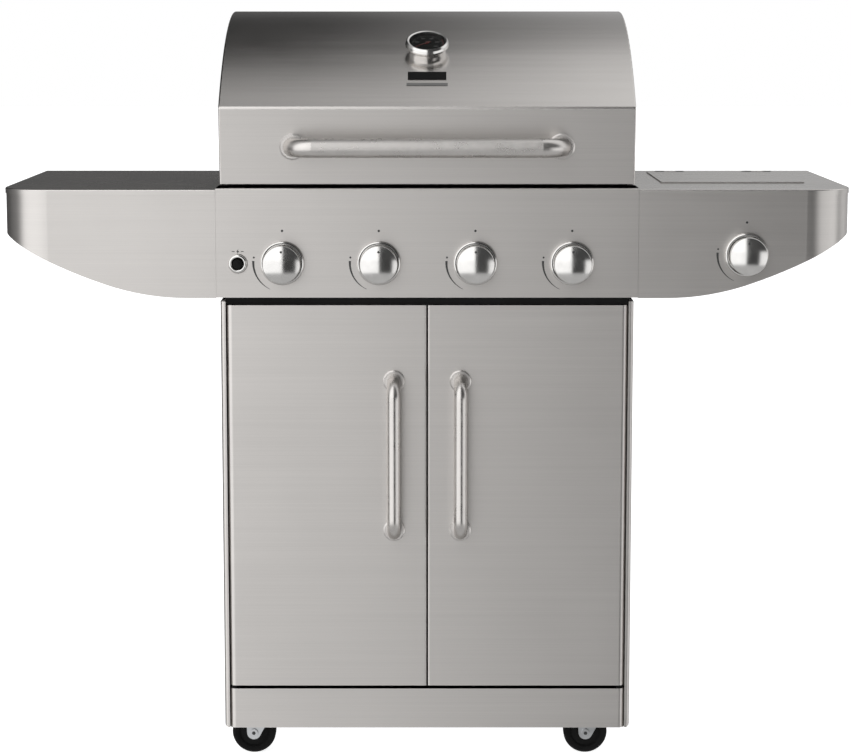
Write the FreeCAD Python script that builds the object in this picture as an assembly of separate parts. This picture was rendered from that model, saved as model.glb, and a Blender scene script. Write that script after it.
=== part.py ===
import FreeCAD, Part
import math
import os

# Gas barbecue grill on a cabinet cart: four main burners under a roll-back lid, a side
# burner under a flap in the right shelf, two cabinet doors and four swivel casters.
# Millimetres, +Z up. While modelling, y is measured backwards from the flat front of the
# cabinet, and export() moves every part so that the origin is under the centre of the grill.

# ---- driving dimensions -------------------------------------------------------------
SHEET = 1.2                 # sheet steel of cabinet, panel, lid and shelves
RUNNING = 0.05              # radial clearance of a turning pin

CABINET_X = 322.0           # half width over the side panels
CABINET_DEPTH = 480.0
CABINET_BASE = 55.0
CABINET_TOP = 738.0
POST = 8.0                  # visible width of each front corner post
POST_RADIUS = 5.5
SIDE_FLANGE = 19.0          # top flange of the side panel
FLOOR_Z = 96.0
BOTTLE_SEAT_R = 140.0       # round pad pressed up in the floor, for the gas bottle
BOTTLE_SEAT_RISE = 3.0

FASCIA_TOP = 118.5
DOOR_BASE = 123.5
DOOR_TOP = 732.0
DOOR_DEPTH = 18.0
DOOR_SIDE_GAP = 0.5
DOOR_EDGE_R = 9.0           # rounded outer edge of doors and plinth
DOOR_MID_GAP = 2.0
DOOR_PIN_INSET = 8.0        # hinge pin from the door's outer edge
DOOR_PIN_Y = 5.0
DOOR_PIN_R = 3.0
DOOR_HANDLE_X = 52.0
DOOR_HANDLE_Z = (375.5, 613.0)

PANEL_X = 328.0             # control panel half width
PANEL_BASE = 744.0
PANEL_TOP = 914.0
PANEL_DEPTH = 74.0

FIREBOX_X = 315.0
FIREBOX_Y = (75.0, 435.0)
FIREBOX_TOP = 930.0
FIREBOX_SHEET = 1.5

LID_X = 322.0
LID_BASE = 920.0
LID_BASE_Y = 9.5            # the lid's front face leans back towards its lower edge
LID_CREASE = (-2.0, 1038.0)
LID_ARC_CENTRE = (365.0, 657.0)
LID_ARC_R = 529.0
LID_REAR_Y = 500.0
LID_REAR_BASE = 972.0
LID_EDGE_R = 2.5
LID_CREASE_R = 7.0
LID_CAP_WIDTH = 8.0         # rolled rim of the end caps
LID_AXIS = (450.0, 950.0)   # y, z of the hinge bolts
LID_BOLT_R = 4.0

LID_HANDLE_X = 208.0
LID_HANDLE_Z = 978.0
LID_HANDLE_R = 14.5
LID_HANDLE_OUT = 46.0

KNOB_XS = (-225.0, -75.0, 75.0, 225.0)
KNOB_Z = 798.0
SIDE_KNOB = (496.0, 811.0)
STEM_R = 4.0
IGNITER = (-294.0, 797.0)

SHELF_X = (328.3, 664.0)
SHELF_DEPTH = 500.0
SHELF_TOP = 912.0
SHELF_CORNER = 75.0
SHELF_SKIRT = 9.0           # folded edge of the shelf top
SHELF_TIP = 840.0           # lowest point of the outer side band

SIDE_OPENING = (385.0, 599.0, 165.0, 429.0)
SIDE_FLAP = (377.0, 607.0, 157.0, 437.0)
FLAP_AXIS = (441.0, 913.5)
FLAP_PIN_R = 0.7
FLAP_BARREL_R = 1.4

GAUGE_Y = 112.0
GAUGE_R = 34.5

MANIFOLD = (45.0, 850.0)    # y, z
MANIFOLD_R = 9.0
INLET_X = 560.0
INLET_R = 6.58              # G 1/4 thread, 13.16 mm across

CASTER_X = 267.0
CASTER_YS = (56.0, 430.0)
CASTER_TRAIL = 12.0
WHEEL_R = 35.0
WHEEL_HALF = 12.5
AXLE_R = 4.0

TRAY = (-100.0, 100.0, 110.0, 400.0, 702.0, 731.5)

# The origin is midway between the front of the lid handle and the back of the lid.
LID_LEAN = (LID_BASE_Y - LID_CREASE[0]) / (LID_CREASE[1] - LID_BASE)
LID_FACE_Y = LID_BASE_Y - LID_LEAN * (LID_HANDLE_Z - LID_BASE)
ORIGIN_Y = (LID_FACE_Y - LID_HANDLE_OUT - LID_HANDLE_R + LID_REAR_Y) / 2.0


# ---- helpers ------------------------------------------------------------------------
def vec(x, y, z):
    return FreeCAD.Vector(x, y, z)


def export(name, *solids):
    """Write one node: its solids stay separate, moved so that the origin is central."""
    shape = Part.makeCompound(list(solids)) if len(solids) > 1 else solids[0]
    shape = shape.copy()
    shape.translate(vec(0, -ORIGIN_Y, 0))
    shape.exportStep(os.path.join("parts", name + ".step"))


def box(x0, x1, y0, y1, z0, z1):
    return Part.makeBox(x1 - x0, y1 - y0, z1 - z0, vec(x0, y0, z0))


def rod(start, end, radius):
    """Round bar between two points."""
    span = end.sub(start)
    return Part.makeCylinder(radius, span.Length, start, span)


def fuse(shapes):
    first, rest = shapes[0], shapes[1:]
    return first.multiFuse(rest).removeSplitter() if rest else first


def cut(shape, tools):
    for tool in tools:
        shape = shape.cut(tool)
    return shape


def mirror_x(shape):
    return shape.mirror(vec(0, 0, 0), vec(1, 0, 0))


def polygon(points):
    wire = Part.makePolygon(points + points[:1])
    return Part.Face(wire)


def line(a, b):
    return Part.LineSegment(a, b).toShape()


def arc(a, middle, b):
    return Part.Arc(a, middle, b).toShape()


def arc_about(centre, radius, start_deg, end_deg, place):
    """Arc in a plane; place turns plane coordinates into a point."""
    def at(angle):
        turn = math.radians(angle)
        return place(centre[0] + radius * math.cos(turn), centre[1] + radius * math.sin(turn))
    return arc(at(start_deg), at((start_deg + end_deg) / 2.0), at(end_deg))


def bent_tube(points, bend, radius):
    """Round bar along straight runs joined by tangent bends."""
    edges = []
    start = points[0]
    for before, corner, after in zip(points, points[1:], points[2:]):
        back = before.sub(corner)
        back.normalize()
        ahead = after.sub(corner)
        ahead.normalize()
        half = back.getAngle(ahead) / 2.0
        setback = bend / math.tan(half)
        inward = back.add(ahead)
        inward.normalize()
        enter = corner.add(back.multiply(setback))
        leave = corner.add(ahead.multiply(setback))
        middle = corner.add(inward.multiply(bend / math.sin(half) - bend))
        edges.append(line(start, enter))
        edges.append(arc(enter, middle, leave))
        start = leave
    edges.append(line(start, points[-1]))
    path = Part.Wire(edges)
    along = points[1].sub(points[0])
    profile = Part.Wire([Part.makeCircle(radius, points[0], along)])
    return path.makePipeShell([profile], True, False)


def turned(profile, base, axis):
    """Solid of revolution from (radius, height) points, set up along an axis."""
    face = polygon([vec(r, 0, h) for r, h in profile])
    solid = face.revolve(vec(0, 0, 0), vec(0, 0, 1), 360)
    turn = FreeCAD.Rotation(vec(0, 0, 1), axis)
    solid.Placement = FreeCAD.Placement(base, turn)
    return solid


def fillet_edges(shape, radius, wanted):
    edges = [edge for edge in shape.Edges if wanted(edge)]
    return shape.makeFillet(radius, edges)


def bolt(head_at, axis, shank_r, shank_length):
    """Button-head bolt: the head stands on head_at and the shank goes against the axis."""
    axis = vec(axis.x, axis.y, axis.z)
    head = Part.makeCylinder(shank_r * 1.9, shank_r * 1.1, head_at, axis)
    back = vec(-axis.x, -axis.y, -axis.z)
    shank = Part.makeCylinder(shank_r, shank_length, head_at, back)
    return head.fuse(shank)


# ---- cabinet ------------------------------------------------------------------------
def left_side_panel():
    """Side sheet whose front edge is bent round into the corner post."""
    inner = -CABINET_X + POST
    drop = POST_RADIUS * (1 - math.sqrt(0.5))
    path = Part.Wire([
        line(vec(inner, 20, 0), vec(inner, 0, 0)),
        line(vec(inner, 0, 0), vec(-CABINET_X + POST_RADIUS, 0, 0)),
        arc(vec(-CABINET_X + POST_RADIUS, 0, 0), vec(-CABINET_X + drop, drop, 0),
            vec(-CABINET_X, POST_RADIUS, 0)),
        line(vec(-CABINET_X, POST_RADIUS, 0), vec(-CABINET_X, CABINET_DEPTH, 0)),
        line(vec(-CABINET_X, CABINET_DEPTH, 0), vec(inner, CABINET_DEPTH, 0)),
    ])
    section = path.makeOffset2D(SHEET, 0, True, True)
    section.translate(vec(0, 0, CABINET_BASE))
    panel = section.extrude(vec(0, 0, CABINET_TOP - CABINET_BASE))
    flange_end = -CABINET_X + SIDE_FLANGE
    top_flange = box(-CABINET_X + SHEET, flange_end, 22, CABINET_DEPTH - SHEET,
                     CABINET_TOP - SHEET, CABINET_TOP)
    panel = panel.fuse(top_flange)
    envelope = box(-CABINET_X, flange_end, -1, CABINET_DEPTH + 1, CABINET_BASE, CABINET_TOP)
    envelope = fillet_edges(envelope, 7.0, lambda e: abs(e.BoundBox.XMax + CABINET_X) < 0.01
                            and e.BoundBox.ZMax < CABINET_BASE + 0.01 and e.BoundBox.YLength > 9)
    return panel.common(envelope).removeSplitter()


def rear_panel():
    """Back sheet with two rows of vent slots and a notch for the grease tray."""
    half = CABINET_X - POST - 0.2
    sheet = box(-half, half, CABINET_DEPTH - SHEET, CABINET_DEPTH, CABINET_BASE, CABINET_TOP)
    tools = [box(-128, 128, CABINET_DEPTH - 9, CABINET_DEPTH + 9, TRAY[4] - 12, CABINET_TOP + 1)]
    for row in range(2):
        for column in range(12):
            x = -242 + column * 44
            z = 560 if row else 180
            tools.append(box(x - 4, x + 4, CABINET_DEPTH - 9, CABINET_DEPTH + 9, z, z + 60))
    return cut(sheet, tools)


def cabinet_floor():
    """Bottom tray with turned-down edges and the pressed seat of the gas bottle."""
    half = CABINET_X - SHEET - 0.3
    front, back = 22.0, CABINET_DEPTH - SHEET - 0.3
    outer = box(-half, half, front, back, FLOOR_Z - 14, FLOOR_Z + SHEET)
    inner = box(-half + SHEET, half - SHEET, front + SHEET, back - SHEET, FLOOR_Z - 20, FLOOR_Z)
    seat_y = CABINET_DEPTH / 2
    seat_z = FLOOR_Z + SHEET + BOTTLE_SEAT_RISE
    seat = rod(vec(0, seat_y, FLOOR_Z), vec(0, seat_y, seat_z), BOTTLE_SEAT_R)
    under_seat = rod(vec(0, seat_y, FLOOR_Z - 1), vec(0, seat_y, seat_z - SHEET), BOTTLE_SEAT_R - SHEET)
    return outer.fuse(seat).cut(inner).cut(under_seat)


def front_fascia():
    """Plinth under the doors: a front turned back at the top, with rounded ends welded on."""
    half = CABINET_X - POST - 0.1
    base = CABINET_BASE - 0.4
    inset = SHEET + 0.2
    def rounded(edge):
        return edge.BoundBox.ZLength > 50 and edge.BoundBox.YMax < SHEET + 0.1
    outer = fillet_edges(box(-half, half, 0, 21, base, FASCIA_TOP), DOOR_EDGE_R, rounded)
    inner = box(-half + SHEET, half - SHEET, SHEET, 22, base - 1, FASCIA_TOP - SHEET)
    inner = fillet_edges(inner, DOOR_EDGE_R - SHEET, rounded)
    hem = box(-half + DOOR_EDGE_R, half - DOOR_EDGE_R, inset - SHEET, 6, base, base + SHEET)
    pan = outer.cut(inner).fuse(hem)
    seam = half - DOOR_EDGE_R
    parts = []
    for x0, x1 in ((-seam, seam), (-half - 1, -seam), (seam, half + 1)):
        parts.append(pan.common(box(x0, x1, -1, 22, base - 1, FASCIA_TOP + 1)))
    return parts


def front_crossbar():
    """Black rail above the doors, with the two magnet catches under it."""
    half = CABINET_X - POST - 0.2
    outer = box(-half, half, 3, 25, CABINET_TOP - 4.5, PANEL_BASE - 0.5)
    inner = box(-half - 1, half + 1, 4.5, 26, CABINET_TOP - 3, PANEL_BASE - 2)
    catches = []
    for side in (-1, 1):
        x = side * 24
        catches.append(box(x - 15, x + 15, 19, 25, CABINET_TOP - 18, CABINET_TOP - 4.5))
    return [outer.cut(inner)] + catches


def left_door():
    """Door pan: flat front, four turned-back edges and a return lip behind."""
    x0 = -CABINET_X + POST + DOOR_SIDE_GAP
    x1 = -DOOR_MID_GAP / 2.0
    skin = 1.0
    lip = 14.0
    def front_edge(side):
        return lambda e: (e.BoundBox.ZLength > 100 and e.BoundBox.YMax < skin + 0.1
                          and side * (e.BoundBox.XMax - (x0 + x1) / 2.0) > 0)
    shell = box(x0, x1, 0, DOOR_DEPTH, DOOR_BASE, DOOR_TOP)
    shell = fillet_edges(shell, DOOR_EDGE_R, front_edge(-1))
    shell = fillet_edges(shell, 2.5, front_edge(1))
    cavity = box(x0 + skin, x1 - skin, skin, DOOR_DEPTH - skin, DOOR_BASE + skin, DOOR_TOP - skin)
    cavity = fillet_edges(cavity, DOOR_EDGE_R - skin, front_edge(-1))
    back = box(x0 + lip, x1 - lip, DOOR_DEPTH - 3, DOOR_DEPTH + 1, DOOR_BASE + lip, DOOR_TOP - lip)
    pin_x = x0 + DOOR_PIN_INSET
    hole = rod(vec(pin_x, DOOR_PIN_Y, DOOR_BASE - 1), vec(pin_x, DOOR_PIN_Y, DOOR_TOP + 1),
               DOOR_PIN_R + RUNNING)
    return cut(shell, [cavity, back, hole])


def door_handle(side):
    """Tube handle with its two round foot plates."""
    x = side * DOOR_HANDLE_X
    low, high = DOOR_HANDLE_Z
    out = -45.0
    tube = bent_tube([vec(x, 0, low), vec(x, out, low), vec(x, out, high), vec(x, 0, high)],
                     25.0, 10.5)
    feet = [turned([(0, 0), (17, 0), (17, 2.5), (15, 4), (0, 4)], vec(x, 0, z), vec(0, -1, 0))
            for z in (low, high)]
    feet = [foot.cut(tube) for foot in feet]
    return [tube] + feet


# ---- casters ------------------------------------------------------------------------
def caster_mount(x, y):
    """Top plate, bearing cup and king pin with its head under the fork."""
    plate = box(x - 31, x + 31, y - 31, y + 31, 93, FLOOR_Z)
    cup = turned([(0, 93), (21, 93), (18, 88.2), (0, 88.2)], vec(x, y, 0), vec(0, 0, 1))
    pin = rod(vec(x, y, 77), vec(x, y, 90), 5.0)
    head = rod(vec(x, y, 74.5), vec(x, y, 79.4), 8.0)
    return fuse([plate, cup, pin, head])


def tangent_point(point, centre, radius, side):
    """Where the line from a point touches a circle."""
    dx, dz = centre[0] - point[0], centre[1] - point[1]
    distance = math.hypot(dx, dz)
    angle = math.atan2(dz, dx) + side * math.asin(radius / distance)
    reach = math.sqrt(distance ** 2 - radius ** 2)
    return (point[0] + reach * math.cos(angle), point[1] + reach * math.sin(angle))


def caster_fork(x, y):
    """Crown, two tapering legs with rounded ends, and the axle bolt."""
    hub = (x - CASTER_TRAIL, WHEEL_R)
    end_r = 11.0
    corner_a, corner_b = (x - 25.0, 80.0), (x + 25.0, 80.0)
    touch_a = tangent_point(corner_a, hub, end_r, -1)
    touch_b = tangent_point(corner_b, hub, end_r, 1)
    crown = box(x - 25, x + 25, y - 17.5, y + 17.5, 80, 83)
    boss = rod(vec(x, y, 80), vec(x, y, 87.5), 19.0)
    crown = crown.fuse(boss).cut(rod(vec(x, y, 70), vec(x, y, 95), 5.0 + RUNNING))
    pieces = [crown]
    for inner in (14.5, -17.5):
        at = y + inner
        outline = polygon([vec(px, at, pz) for px, pz in
                           (corner_a, (corner_a[0], 83.0), (corner_b[0], 83.0), corner_b,
                            touch_b, hub, touch_a)])
        leg = outline.extrude(vec(0, 3, 0))
        leg = leg.fuse(rod(vec(hub[0], at, hub[1]), vec(hub[0], at + 3, hub[1]), end_r))
        pieces.append(leg)
    pieces.append(rod(vec(hub[0], y - 20.5, hub[1]), vec(hub[0], y + 20.5, hub[1]), AXLE_R))
    for end in (-20.5, 17.5):
        pieces.append(rod(vec(hub[0], y + end, hub[1]), vec(hub[0], y + end + 3, hub[1]), 6.5))
    return fuse(pieces)


def caster_wheel(x, y):
    """Solid tyre wheel with a raised hub and a bored centre."""
    rim = 30.0
    profile = [(AXLE_R + RUNNING, -13.5), (10, -13.5), (11, -11.0), (rim - 8, -9.0), (rim - 5, -11.5),
               (rim, -WHEEL_HALF), (WHEEL_R - 2.5, -WHEEL_HALF + 1.5), (WHEEL_R, -7.0),
               (WHEEL_R, 7.0), (WHEEL_R - 2.5, WHEEL_HALF - 1.5), (rim, WHEEL_HALF),
               (rim - 5, 11.5), (rim - 8, 9.0), (11, 11.0), (10, 13.5), (AXLE_R + RUNNING, 13.5)]
    return turned(profile, vec(x - CASTER_TRAIL, y, WHEEL_R), vec(0, 1, 0))


# ---- control panel, gas and burners -------------------------------------------------
def control_panel():
    """Folded panel: front, top shelf under the lid, ends, lower edge, and its holes."""
    outer = box(-PANEL_X, PANEL_X, 0, PANEL_DEPTH, PANEL_BASE, PANEL_TOP)
    outer = fillet_edges(outer, 2.5, lambda e: e.BoundBox.XLength > 100 and e.BoundBox.YMax < 1
                         and e.BoundBox.ZMin > PANEL_TOP - 1)
    inner = box(-PANEL_X + SHEET, PANEL_X - SHEET, SHEET, PANEL_DEPTH + 1,
                PANEL_BASE + SHEET, PANEL_TOP - SHEET)
    open_bottom = box(-PANEL_X + SHEET, PANEL_X - SHEET, 22, PANEL_DEPTH + 1,
                      PANEL_BASE - 1, PANEL_BASE + 5)
    tools = [inner, open_bottom]
    for x in KNOB_XS:
        tools.append(rod(vec(x, -1, KNOB_Z), vec(x, 5, KNOB_Z), 11.0))
    tools.append(rod(vec(IGNITER[0], -1, IGNITER[1]), vec(IGNITER[0], 5, IGNITER[1]), 9.2))
    pipe_y, pipe_z = MANIFOLD
    tools.append(rod(vec(PANEL_X - 5, pipe_y, pipe_z), vec(PANEL_X + 5, pipe_y, pipe_z), 12.0))
    return cut(outer, tools)


def knob_positions():
    return [(x, KNOB_Z) for x in KNOB_XS] + [SIDE_KNOB]


def knob_bezel(x, z):
    """Dished ring behind a knob."""
    profile = [(11, 0), (34.5, 0), (34.5, 2.0), (33.0, 5.0), (31.5, 6.0), (30.2, 5.0), (29.6, 1.5), (11, 1.5)]
    return turned(profile, vec(x, 0, z), vec(0, -1, 0))


def igniter_ring():
    profile = [(9.2, 0), (15, 0), (15, 1.8), (13.8, 4.0), (12.8, 4.0), (9.2, 1.6)]
    return turned(profile, vec(IGNITER[0], 0, IGNITER[1]), vec(0, -1, 0))


def igniter_housing():
    """Black spark module behind the panel, with the sleeve that guides the button."""
    x, z = IGNITER
    sleeve = rod(vec(x, -1.2, z), vec(x, 30, z), 9.0)
    module = box(x - 13, x + 13, 14, 46, z - 17, z + 17)
    bore = rod(vec(x, -6, z), vec(x, 12, z), 7.4 + RUNNING)
    return sleeve.fuse(module).cut(bore)


def igniter_button():
    x, z = IGNITER
    profile = [(0, -8.0), (7.4, -8.0), (7.4, 6.6), (6.4, 7.8), (0, 8.2)]
    return turned(profile, vec(x, 0, z), vec(0, -1, 0))


def valve_stem(x, z):
    """Turning stem of a gas valve, with a collar inside the valve."""
    stem = rod(vec(x, -27, z), vec(x, 44, z), STEM_R)
    collar = rod(vec(x, 26, z), vec(x, 38, z), 7.0)
    return stem.fuse(collar)


def knob(x, z):
    """Domed knob with a blind bore for the stem."""
    radius, edge = 29.5, 3.0
    back, bore_end, crown = 11.0, 32.0, 38.0
    bore_r = STEM_R + RUNNING
    shoulder = (radius - edge, 29.8)
    sweep = 67.8
    turn = math.radians(sweep)
    rim = vec(shoulder[0] + edge * math.cos(turn), 0, shoulder[1] + edge * math.sin(turn))
    top = vec(0, 0, crown)
    dome_r = (rim.x ** 2 + (crown - rim.z) ** 2) / (2 * (crown - rim.z))
    dome_start = math.degrees(math.asin((rim.z - crown + dome_r) / dome_r))
    profile = lambda r, h: vec(r, 0, h)
    outline = Part.Wire([
        line(vec(bore_r, 0, back), vec(radius - 2.5, 0, back)),
        line(vec(radius - 2.5, 0, back), vec(radius - 1.5, 0, back + 1)),
        line(vec(radius - 1.5, 0, back + 1), vec(radius, 0, shoulder[1])),
        arc_about(shoulder, edge, 0.0, sweep, profile),
        arc_about((0.0, crown - dome_r), dome_r, dome_start, 90.0, profile),
        line(top, vec(0, 0, bore_end)),
        line(vec(0, 0, bore_end), vec(bore_r, 0, bore_end)),
        line(vec(bore_r, 0, bore_end), vec(bore_r, 0, back)),
    ])
    body = Part.Face(outline).revolve(vec(0, 0, 0), vec(0, 0, 1), 360)
    turn_forward = FreeCAD.Rotation(vec(0, 0, 1), vec(0, -1, 0))
    body.Placement = FreeCAD.Placement(vec(x, 0, z), turn_forward)
    return body


def gas_manifold():
    """Supply pipe along the panel, with its inlet elbow pointing down under the right shelf."""
    y, z = MANIFOLD
    pipe = rod(vec(-245, y, z), vec(INLET_X, y, z), MANIFOLD_R)
    elbow = Part.makeSphere(MANIFOLD_R + 2, vec(INLET_X, y, z))
    drop = rod(vec(INLET_X, y, z), vec(INLET_X, y, z - 24), MANIFOLD_R + 1)
    hexagon = [vec(INLET_X + 11 * math.cos(math.radians(60 * i)),
                   y + 11 * math.sin(math.radians(60 * i)), z - 32) for i in range(6)]
    nut = polygon(hexagon).extrude(vec(0, 0, 9))
    thread = rod(vec(INLET_X, y, z - 32), vec(INLET_X, y, z - 50), INLET_R)
    fitting = fuse([elbow, drop, nut, thread])
    bore = rod(vec(INLET_X, y, z - 51), vec(INLET_X, y, z - 10), 3.0)
    return fuse([pipe, fitting]).cut(bore)


def valve_body(x, z):
    """Brass valve: block, stem neck, riser to the pipe and jet towards the burner."""
    pipe_y, pipe_z = MANIFOLD
    block = box(x - 12, x + 12, 20, 56, z - 13, z + 13)
    neck = rod(vec(x, 8, z), vec(x, 21, z), 9.0)
    riser = rod(vec(x, pipe_y, z + 12), vec(x, pipe_y, pipe_z), 6.0)
    jet = rod(vec(x, 55, z), vec(x, 66, z), 3.5)
    body = fuse([block, neck, riser, jet])
    pipe = rod(vec(x - 30, pipe_y, pipe_z), vec(x + 30, pipe_y, pipe_z), MANIFOLD_R)
    stem_bore = rod(vec(x, 0, z), vec(x, 50, z), STEM_R + RUNNING)
    chamber = rod(vec(x, 25, z), vec(x, 45, z), 7.5)
    return cut(body, [pipe, stem_bore, chamber])


def main_burner(x):
    """Tube burner running from the jet to the back of the firebox."""
    tube = rod(vec(x, 62, KNOB_Z), vec(x, 405, KNOB_Z), 14.0)
    bore = rod(vec(x, 61, KNOB_Z), vec(x, 403, KNOB_Z), 12.8)
    tube = tube.cut(bore)
    tab = box(x - 10, x + 10, 404, FIREBOX_Y[1] - FIREBOX_SHEET, KNOB_Z - 1, KNOB_Z + 1)
    ports = []
    for side in (-1, 1):
        for row in range(22):
            at = vec(x, 105 + row * 13.5, KNOB_Z)
            ports.append(rod(at, at.add(vec(side * 15, 0, 9)), 1.1))
    return cut(tube.fuse(tab), ports)


def heat_tent(x):
    """Folded deflector over one burner."""
    points = [vec(x - 52, 0, 845), vec(x, 0, 866), vec(x + 52, 0, 845)]
    ridge = Part.Wire([line(points[0], points[1]), line(points[1], points[2])])
    section = ridge.makeOffset2D(1.0, 0, True, True)
    section.translate(vec(0, FIREBOX_Y[0] + 5, 0))
    tent = section.extrude(vec(0, FIREBOX_Y[1] - FIREBOX_Y[0] - 10, 0))
    lift = 845.0 - tent.BoundBox.ZMin
    tent.translate(vec(0, 0, lift))
    return tent


def cooking_grate(x0, x1):
    """Cast grate: a frame with bars running front to back."""
    y0, y1 = FIREBOX_Y[0] + 6, FIREBOX_Y[1] - 6
    z0, z1 = 880.0, 892.0
    bars = [box(x0, x1, y0, y0 + 9, z0, z1), box(x0, x1, y1 - 9, y1, z0, z1)]
    count = 17
    width = 7.0
    step = (x1 - x0 - width) / (count - 1)
    for i in range(count):
        x = x0 + i * step
        bars.append(box(x, x + width, y0, y1, z0 + 2, z1))
    bars.append(box(x0, x1, (y0 + y1) / 2 - 4, (y0 + y1) / 2 + 4, z0, z1 - 3))
    return fuse(bars)


def warming_rack():
    """Wire rack on four legs that stand against the firebox sides."""
    z = 1010.0
    y0, y1 = 305.0, 420.0
    half = 296.0
    wire = 2.0
    leg_x = FIREBOX_X - FIREBOX_SHEET - 3.0
    pieces = []
    for y in (y0, y1):
        pieces.append(bent_tube([vec(-leg_x, y, 900), vec(-leg_x, y, z), vec(leg_x, y, z),
                                 vec(leg_x, y, 900)], 12.0, 3.0))
    pieces.append(rod(vec(-half, (y0 + y1) / 2, z - 3), vec(half, (y0 + y1) / 2, z - 3), wire))
    count = 30
    for i in range(count):
        x = -half + 2 * half * i / (count - 1)
        pieces.append(rod(vec(x, y0 - 2, z + 2.2), vec(x, y1 + 2, z + 2.2), wire))
    for x in (-half, half):
        pieces.append(rod(vec(x, (y0 + y1) / 2, z - 3), vec(x, (y0 + y1) / 2, z + 3), wire))
    return fuse(pieces)


# ---- firebox ------------------------------------------------------------------------
def firebox():
    """Cook box: side skirts with hinge ears, end walls, sloping bottom, ledges, tray rails."""
    t = FIREBOX_SHEET
    y0, y1 = FIREBOX_Y
    pieces = []
    for side in (-1, 1):
        low, high = sorted((side * FIREBOX_X, side * (FIREBOX_X - t)))
        wall = box(low, high, y0, y1, CABINET_TOP, FIREBOX_TOP)
        ear_points = [
            vec(low, y1 - 60, FIREBOX_TOP - 5),
            vec(low, y1, FIREBOX_TOP - 25),
            vec(low, LID_AXIS[0] + 16, LID_AXIS[1] - 8),
            vec(low, LID_AXIS[0] - 2, LID_AXIS[1] + 18),
            vec(low, y1 - 60, FIREBOX_TOP),
        ]
        ear = polygon(ear_points).extrude(vec(t, 0, 0))
        ear = ear.fuse(rod(vec(low, *LID_AXIS), vec(high, *LID_AXIS), 18.0))
        pieces.append(wall.fuse(ear))
    inside = FIREBOX_X - t
    for y in (y0, y1 - t):
        wall = polygon([vec(-inside, y, 796), vec(-90, y, 753), vec(90, y, 753), vec(inside, y, 796),
                        vec(inside, y, FIREBOX_TOP), vec(-inside, y, FIREBOX_TOP)])
        pieces.append(wall.extrude(vec(0, t, 0)))
    bottom = polygon([vec(-inside, y0, 796), vec(-90, y0, 753), vec(90, y0, 753), vec(inside, y0, 796),
                      vec(inside, y0, 796 + t), vec(90, y0, 753 + t), vec(-90, y0, 753 + t),
                      vec(-inside, y0, 796 + t)])
    pieces.append(bottom.extrude(vec(0, y1 - y0, 0)))
    for z, reach in ((843.5, 16.0), (878.5, 13.0)):
        pieces.append(box(-inside, inside, y0 + t, y0 + t + reach, z, z + t))
        pieces.append(box(-inside, inside, y1 - t - reach, y1 - t, z, z + t))
    for side in (-1, 1):
        web = sorted((side * 114.5, side * 116.0))
        lip = sorted((side * 103.0, side * 116.0))
        pieces.append(box(web[0], web[1], 105, 430, 727.5, 760))
        pieces.append(box(lip[0], lip[1], 105, 430, 727.5, 729.0))
    body = fuse(pieces)
    tools = [box(-75, 75, 150, 350, 740, 770)]
    for x in KNOB_XS:
        tools.append(rod(vec(x, y0 - 1, KNOB_Z), vec(x, y0 + t + 0.01, KNOB_Z), 14.5))
    for side in (-1, 1):
        tools.append(rod(vec(side * (inside - 5), *LID_AXIS), vec(side * (FIREBOX_X + 5), *LID_AXIS),
                         LID_BOLT_R))
    return cut(body, tools)


def grease_tray():
    """Drip tray hung by its side flanges, with a finger bar across the back."""
    x0, x1, y0, y1, z0, z1 = TRAY
    shell = box(x0, x1, y0, y1, z0, z1).cut(box(x0 + 1, x1 - 1, y0 + 1, y1 - 1, z0 + 1, z1 + 1))
    flanges = [box(x0 - 11, x0 + 0.5, y0, y1, z1 - 1, z1), box(x1 - 0.5, x1 + 11, y0, y1, z1 - 1, z1)]
    pull = box(-40, 40, y1, y1 + 22, z1 - 12, z1 - 10).fuse(box(-40, 40, y1 + 20, y1 + 22, z1 - 18, z1 - 10))
    return fuse([shell] + flanges + [pull])


# ---- lid ----------------------------------------------------------------------------
def lid_arc_z(y, radius):
    return LID_ARC_CENTRE[1] + math.sqrt(radius ** 2 - (y - LID_ARC_CENTRE[0]) ** 2)


def lid_block(inset):
    """Solid inside the lid's outer surface, moved inwards by inset, open edges included."""
    half = LID_X - inset
    radius = LID_ARC_R - inset
    crease_y = LID_CREASE[0] + inset
    rear_y = LID_REAR_Y - inset
    base_z = LID_BASE - (1.0 if inset else 0.0)
    base_y = LID_BASE_Y + inset + LID_LEAN * (LID_BASE - base_z)
    top_middle_y = (crease_y + rear_y) / 2.0
    p = [vec(-half, base_y, base_z),
         vec(-half, crease_y, lid_arc_z(crease_y, radius)),
         vec(-half, top_middle_y, lid_arc_z(top_middle_y, radius)),
         vec(-half, rear_y, lid_arc_z(rear_y, radius))]
    wire = Part.Wire([line(p[0], p[1]), arc(p[1], p[2], p[3]),
                      line(p[3], vec(-half, rear_y, base_z)),
                      line(vec(-half, rear_y, base_z), p[0])])
    block = Part.Face(wire).extrude(vec(2 * half, 0, 0))
    block = fillet_edges(block, LID_CREASE_R - inset, lambda e: e.BoundBox.XLength > 100
                         and abs(e.BoundBox.YMax - crease_y) < 0.5 and e.BoundBox.ZMin > LID_BASE + 50)
    def rolled(edge):
        bounds = edge.BoundBox
        return bounds.XLength < 0.01 and bounds.ZMax > LID_BASE + 1
    return fillet_edges(block, LID_EDGE_R - inset, rolled)


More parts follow.
